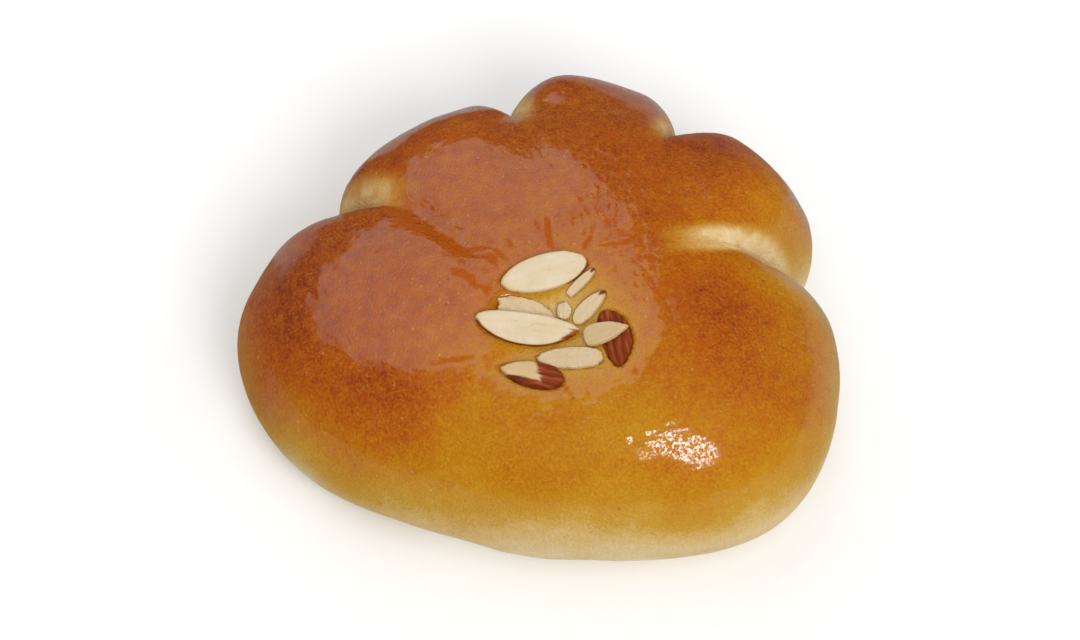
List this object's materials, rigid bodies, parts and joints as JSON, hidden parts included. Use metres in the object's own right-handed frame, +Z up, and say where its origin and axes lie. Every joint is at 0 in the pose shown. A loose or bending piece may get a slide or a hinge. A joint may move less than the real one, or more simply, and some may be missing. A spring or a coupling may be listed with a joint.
{
  "type": "bear claw pastry",
  "caption": "Paw-shaped soft sweet bun with a glossy egg-washed crust, slits between its toes and almond pieces in a shallow dimple on top.",
  "frame": {"origin": "centre of the bounding box at the flat base the bun rests on", "axes": "+Z up, +X to the right in the picture, +Y to the back, where the three back toes are"},
  "size_m": [0.125, 0.1098, 0.0468],
  "materials": {
    "crust": "baked sweet dough with a glossy egg wash, golden brown on top, paling to cream at the foot and in the slits",
    "almond_white": "cut ivory almond with fine grain and a thin brown skin line at its edge",
    "almond_skin_brown": "ridged reddish-brown almond skin"
  },
  "bodies": {
    "root": {"bun": "crust", "almond_oval": "almond_white", "almond_sliver": "almond_white", "almond_chip": "almond_white", "almond_crumb": "almond_white", "almond_long": "almond_white", "almond_shard": "almond_white", "almond_leaf": "almond_white", "almond_skin": "almond_skin_brown", "almond_plate": "almond_white", "almond_wedge": "almond_skin_brown"}
  },
  "joints": []
}
